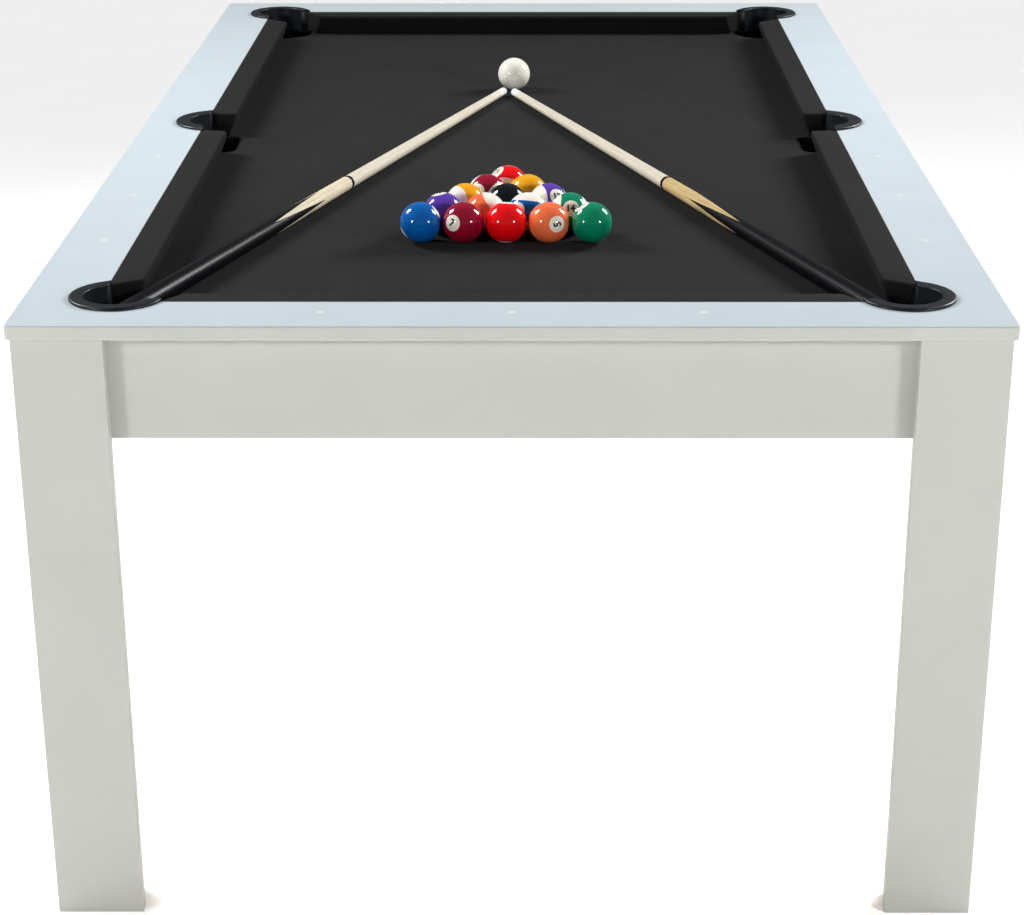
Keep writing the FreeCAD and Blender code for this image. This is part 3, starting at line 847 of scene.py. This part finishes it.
def ballDirections(axis):
    # latitude and longitude about the axis: cos b axis + sin b (cos a e1 + sin a e2)
    side = unit(np.cross(axis, (0.3, 0.5, 0.8)))
    other = np.cross(axis, side)
    b = np.linspace(0, math.pi, ballSizes["rings"])[:, None, None]
    a = np.linspace(0, 2 * math.pi, ballSizes["around"], endpoint=False)[None, :, None]
    return np.cos(b) * axis + np.sin(b) * (np.cos(a) * side + np.sin(a) * other)


def makeBall(node, number):
    low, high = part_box(node)
    centre, radius = np.array((low + high) / 2), (high.z - low.z) / 2 - ballSizes["skinIn"] * mm
    face = ballFaces.get(number, {"disc": (0, 1, 0)})
    disc = fromViewer(face["disc"])
    directions = ballDirections(disc)
    skin = surface(centre + radius * directions, loopV=True)
    tone = ballTones[ballOrder[(number - 1) % 8]] if number else None
    striped = number > 8
    pole = fromViewer(face.get("pole", (0, 0, 1)))
    pole = unit(pole - disc * (pole @ disc))
    finish = resinFinish(node + "_resin", tone, striped)
    skins = [skin]
    if number:
        level = fromViewer((0, 1, 0))
        if abs(disc @ level) >= 0.9:
            level = fromViewer((0, 0, -1))
        spin = Matrix.Rotation(math.radians(face.get("turn", 0)), 3, Vector(disc))
        turned = np.array(spin @ Vector(level))
        skins += [numberSkin(str(number), centre, radius, way, turned) for way in (disc, -disc)]
    away = (np.concatenate([s["points"] for s in skins]) - centre) / radius
    piece("resin_" + node, skins, [finish, ballInk], node, [node], 180,
          {"disc": away @ disc, "pole": away @ pole})


print("balls")
ballInk = grainFinish("ballInk", ink)
for nodeName in [n for n in nodes if n.startswith("ball_")]:
    makeBall(nodeName, 0 if nodeName == "ball_cue" else int(nodeName[-2:]))


cue = {
    "tip": 7, "tipRound": 5, "crown": 0.6, "tipEdge": 0.62, "ferrule": 25, "ring": 6, "jointGap": 0.3,
    "collar": 2.2, "bumper": 9, "bumperIn": 1.6, "bumperGap": 0.4, "buttRound": 3,
    "around": 64, "stepAlong": 14, "meanRadius": 9,
    "pointStart": 98, "pointStop": 269, "points": 4, "pointBlur": 0.5,
}
maple = {
    "hairs": (1.6, 60), "shaftSpread": (0.32, 0.6), "shaftGloss": (0.2, 0.3), "shaftDepth": 0.01,
    "forearmSpread": (0.32, 0.62), "forearmGloss": (0.28, 0.36), "forearmDepth": 0.004,
    "lacquer": ("#040509", "#0A0B11"),
}
# pressed leather with chalk rubbed in, and the bright phenolic of the ferrule
leather = {"grains": ((1.2, 5),), "depth": 0.03}


def mapleHairs(tree):
    # fine hairs: a width round the cue and a length along it, in mm
    across, along = maple["hairs"]
    drawn = add(tree, "Mapping", {"Scale": (perMetre(across), perMetre(along), 1)},
                {"Vector": attributeOf(tree, "unrolled", "Vector")})
    noise = add(tree, "TexNoise", {"Scale": 1.0, "Detail": 4, "Roughness": 0.6},
                {"Vector": drawn.outputs[0]})
    return noise.outputs[0]


def mapleFinish(name, tones):
    # hard maple under clear lacquer: cream with fine darker hairs along the cue
    made, tree, shader = newMaterial(name, {"IOR": 1.5, "Coat Weight": 0.35, "Coat Roughness": 0.12})
    hairs = mapleHairs(tree)
    finishWith(tree, shader, twoTones(tree, spread(tree, hairs, *maple["shaftSpread"]), *tones),
               fromNoise(tree, hairs, *maple["shaftGloss"]), hairs, maple["shaftDepth"])
    return made


def forearmFinish(name, tones):
    # four black lacquered points let into the maple: black where the distance past the joint is more
    # than start + (stop - start) * a triangle wave that rises and falls once per quarter turn
    made, tree, shader = newMaterial(name, {"IOR": 1.5, "Specular IOR Level": 0.16})
    hairs = mapleHairs(tree)
    wood = twoTones(tree, spread(tree, hairs, *maple["forearmSpread"]), *tones)
    lacquer = twoTones(tree, hairs, *maple["lacquer"])
    start, stop, blur = (cue[key] * mm for key in ("pointStart", "pointStop", "pointBlur"))
    border = spread(tree, attributeOf(tree, "pointWave"), 0, 1, start, stop)
    over = add(tree, "Math", {"operation": "SUBTRACT"},
               {0: attributeOf(tree, "pastJoint"), 1: border}).outputs[0]
    isBlack = spread(tree, over, -blur, blur)
    finishWith(tree, shader, twoTones(tree, isBlack, wood, lacquer),
               fromNoise(tree, hairs, *maple["forearmGloss"]), hairs, maple["forearmDepth"])
    return made


def cueEnds(node):
    # middles and radii of the node's two end circles, the slimmer one first
    points = np.unique(np.round([v.co for v in nodes[node].data.vertices], 6), axis=0)
    centred = points - points.mean(0)
    along = np.linalg.svd(centred, full_matrices=False)[2][0]
    reach = centred @ along
    ends = []
    for extreme in (reach.min(), reach.max()):
        circle = points[np.abs(reach - extreme) < 3 * mm]
        middle = (circle.max(0) + circle.min(0)) / 2
        ends.append((np.linalg.norm(circle - middle, axis=1).mean(), middle))
    return sorted(ends, key=lambda end: end[0])


def cueAxes(start, stop):
    # along the cue, up as far as that allows, and sideways
    axis = unit(stop - start)
    up = unit(np.array((0, 0, 1.0)) - axis * axis[2])
    return axis, up, np.cross(axis, up)


def lathed(start, stop, turnFrom, profile):
    # profile of (distance from start, radius) turned about the line from start to stop
    axis, up, side = cueAxes(start, stop)
    angle = 2 * math.pi * np.arange(cue["around"]) / cue["around"] + turnFrom
    ring = np.cos(angle)[:, None] * up + np.sin(angle)[:, None] * side
    return start + profile[:, :1, None] * axis + profile[:, 1:, None] * ring[None]


def taper(radius, rate, start, stop):
    # (distance, radius + rate * distance) in even steps from start to stop, given in mm
    low, high = start * mm, stop * mm
    count = max(2, int((high - low) / (cue["stepAlong"] * mm)) + 1)
    return np.stack([np.linspace(low, high, count),
                     np.linspace(radius + rate * low, radius + rate * high, count)], -1)


def makeShaft(side, facing):
    # leather tip, ferrule, maple shaft and the black ring at its joint
    node = "cue_" + side + "_shaft"
    (radius, tip), (jointRadius, joint) = cueEnds(node)
    length = np.linalg.norm(joint - tip)
    rate = (jointRadius - radius) / length
    t = np.linspace(0, math.pi / 2, 7)
    low = cue["tipEdge"] * radius
    tipCurve = np.stack([cue["tipRound"] * mm * (1 - np.cos(t)) * cue["crown"],
                         low + (radius - low) * np.sin(t)], -1)
    tipStop = cue["tip"]
    ferruleStop = tipStop + cue["ferrule"]
    ringStart = length / mm - cue["ring"]
    parts = [
        (tipCurve, 0),
        (taper(radius, rate, cue["crown"] * tipStop, tipStop), 0),
        (taper(radius, rate, tipStop, ferruleStop), 1),
        (taper(radius, rate, ferruleStop, ringStart), 2),
        (taper(radius, rate, ringStart, length / mm - cue["jointGap"]), 3),
    ]
    finishes = [cueLeather, cueFerrule, shaftMaple, cueBlack]
    turnedPiece(node, "cue_" + side, tip, joint, facing, parts, finishes)
    return jointRadius, joint


def makeButt(side, facing, jointRadius, joint):
    # black ring, forearm and lacquered butt in one taper, then the rubber bumper
    node = "cue_" + side + "_butt"
    radius, end = cueEnds(node)[1]
    length = np.linalg.norm(end - joint) / mm
    rate = (radius - jointRadius) / length / mm
    collar = cue["collar"]
    bumper = length - cue["bumper"]
    t = np.linspace(0, math.pi / 2, 7)
    outer = radius - cue["bumperIn"] * mm
    foot = cue["buttRound"] * mm
    bumperCurve = np.concatenate([
        [[(bumper + cue["bumperGap"]) * mm, outer]],
        np.stack([length * mm - foot + foot * np.sin(t), outer - foot + foot * np.cos(t)], -1)])
    parts = [
        (taper(jointRadius, rate, cue["jointGap"], collar), 1),
        (taper(jointRadius, rate, collar, bumper), 0),
        (bumperCurve, 2),
    ]
    finishes = [forearms[side], cueBlack, bumperRubber]
    turnedPiece(node, "cue_" + side, joint, end, facing, parts, finishes)


def turnedPiece(node, body, start, stop, facing, parts, finishes):
    # one skin turned from all the parts' profiles; each part's number picks its finish
    profile = np.concatenate([part for part, _ in parts])
    picks = np.concatenate([np.full(len(part), pick) for part, pick in parts])
    ends = (0.5, 0.0)
    count = len(ends)
    skin = surface(capped(lathed(start, stop, facing, profile), ends), loopV=True)
    skin["pick"] = np.repeat(np.pad(picks, count, "edge")[:-1], cue["around"])
    along = np.repeat(np.pad(profile[:, 0], count, "edge"), cue["around"])
    made = piece("turned_" + node, [skin], finishes, body, [node], 30, {"pastJoint": along})
    unroll(made, start, stop, facing)


def unroll(made, start, stop, facing):
    # the skin laid flat, as distance round the mean radius and distance along; and the points' wave,
    # which goes from 0 to 1 and back once for each point
    points = np.array([v.co for v in made.data.vertices])
    axis, up, side = cueAxes(start, stop)
    away = points - start
    angle = np.arctan2(away @ side, away @ up)
    flat = np.stack([np.abs(angle) * cue["meanRadius"] * mm, away @ axis, 0 * angle], -1)
    unrolled = made.data.attributes.new("unrolled", "FLOAT_VECTOR", "POINT")
    unrolled.data.foreach_set("vector", flat.astype(np.float32).ravel())
    turned = np.mod((angle - facing) / (2 * math.pi), 1)
    wave = np.abs(np.mod(turned * 2 * cue["points"] + 1, 2) - 1)
    pointWave = made.data.attributes.new("pointWave", "FLOAT", "POINT")
    pointWave.data.foreach_set("value", wave.astype(np.float32))


print("cues")
pointTurns = {"left": -85.6, "right": 71.6}
cueLeather = grainFinish("cueLeather", leather, tones=("#B9C7D6", "#DCE4EC"), gloss=(0.74, 0.86))
cueFerrule = grainFinish("cueFerrule", leather, tones=("#EDEFEC", "#F6F6F3"), gloss=(0.19, 0.31))
shaftMaple = mapleFinish("shaftMaple", ("#DFD5BD", "#ECE4D0"))
forearms = {"left": forearmFinish("forearmPale", ("#D6C8A6", "#EADFC4")),
            "right": forearmFinish("forearmTan", ("#BC9F68", "#DAC28F"))}
cueBlack = grainFinish("cueBlack", plastic, tones=("#040406", "#090A0F"), gloss=(0.24, 0.32), depth=0.004,
                       shader={**plastic["shader"], "Specular IOR Level": 0.1})
bumperRubber = grainFinish("bumperRubber", plastic, tones=("#0A0A0B", "#141415"), gloss=(0.55, 0.7),
                           depth=0.03)
for sideName, turn in pointTurns.items():
    facing = math.radians(turn)
    makeButt(sideName, facing, *makeShaft(sideName, facing))


studio = {
    "floor": 60, "floorTones": ("#F3F3F3", "#F7F7F7"), "mottle": 300, "air": 0.17, "airTone": "#FCFDFF",
    "softboxWatts": 46, "softboxSpread": 100, "softboxSize": (0.95, 1.35), "softboxAway": 4.0,
    "softboxTone": "#FDFEFF",
    "softboxWays": {"softboxLeft": (-0.73, 0.36, 0.58), "softboxRight": (0.70, 0.50, 0.45)},
    "lampWatts": 28, "lampSize": 0.42, "lampTone": "#FFFEFC",
    "lampPlaces": {"lampLeft": (-2.16, -2.5, 1.55), "lampRight": (2.16, -2.5, 1.55)},
    "washStrength": 2.45, "washAngle": 120,
}
view = {
    "place": (0.0331, -3.6322, 1.6550), "yaw": 0.246, "lookDown": 21.277, "roll": -0.048,
    "sensor": 36, "lens": 79.94, "shift": (-0.0176, -0.0073), "farEnd": 100,
}


def makeFloor():
    half = studio["floor"] / 2
    line = np.linspace(-half, half, 9)
    x, y = np.meshgrid(line, line, indexing="ij")
    skin = surface(np.stack([x, y, 0 * x], -1))
    mesh = bpy.data.meshes.new("studioFloor")
    mesh.from_pydata(skin["points"], [], skin["faces"])
    # matt painted floor: near white with a very faint roller mottle
    made, tree, shader = newMaterial("paintedFloor", {"Roughness": 0.8})
    finishWith(tree, shader, twoTones(tree, grain(tree, studio["mottle"]), *studio["floorTones"]))
    mesh.materials.append(made)
    floor = bpy.data.objects.new("studioFloor", mesh)
    bpy.context.scene.collection.objects.link(floor)


def areaLight(name, place, target, watts, size, tone):
    data = bpy.data.lights.new(name, "AREA")
    data.energy = watts
    data.color = linear(tone)[:3]
    if isinstance(size, tuple):
        data.shape = "RECTANGLE"
        data.size, data.size_y = size
        data.spread = math.radians(studio["softboxSpread"])
    else:
        data.shape = "DISK"
        data.size = size
    light = bpy.data.objects.new(name, data)
    light.location = place
    light.rotation_euler = (Vector(target) - Vector(place)).to_track_quat("-Z", "Y").to_euler()
    bpy.context.scene.collection.objects.link(light)


def makeLights():
    world = bpy.data.worlds.new("studioAir")
    world.use_nodes = True
    air = world.node_tree.nodes["Background"]
    air.inputs["Color"].default_value = linear(studio["airTone"])
    air.inputs["Strength"].default_value = studio["air"]
    bpy.context.scene.world = world
    corners = [*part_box("ball_11"), *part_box("ball_03")]
    rack = sum(corners, Vector((0, 0, 0))) / len(corners)
    for name, way in studio["softboxWays"].items():
        place = rack + Vector(way) * studio["softboxAway"]
        areaLight(name, place, rack, studio["softboxWatts"], studio["softboxSize"],
                  studio["softboxTone"])
    for name, place in studio["lampPlaces"].items():
        areaLight(name, place, rack, studio["lampWatts"], studio["lampSize"], studio["lampTone"])
    # a very broad light from above that only the floor takes, so that it stays pale to its far side
    wash = bpy.data.lights.new("floorWash", "SUN")
    wash.energy = studio["washStrength"]
    wash.angle = math.radians(studio["washAngle"])
    washed = bpy.data.objects.new("floorWash", wash)
    bpy.context.scene.collection.objects.link(washed)
    takers = bpy.data.collections.new("floorWashTakers")
    takers.objects.link(bpy.data.objects["studioFloor"])
    washed.light_linking.receiver_collection = takers


def makeCamera():
    data = bpy.data.cameras.new("camera")
    data.sensor_width = view["sensor"]
    data.lens = view["lens"]
    data.shift_x, data.shift_y = view["shift"]
    data.clip_end = view["farEnd"]
    made = bpy.data.objects.new("camera", data)
    made.location = view["place"]
    turned = Matrix.Identity(4)
    for angle, axis in ((view["yaw"], "Z"), (90 - view["lookDown"], "X"), (view["roll"], "Z")):
        turned = turned @ Matrix.Rotation(math.radians(angle), 4, axis)
    made.rotation_euler = turned.to_euler()
    bpy.context.scene.collection.objects.link(made)
    bpy.context.scene.camera = made


print("floor, lights and camera")
makeFloor()
makeLights()
makeCamera()
bpy.context.scene.view_settings.view_transform = "Standard"
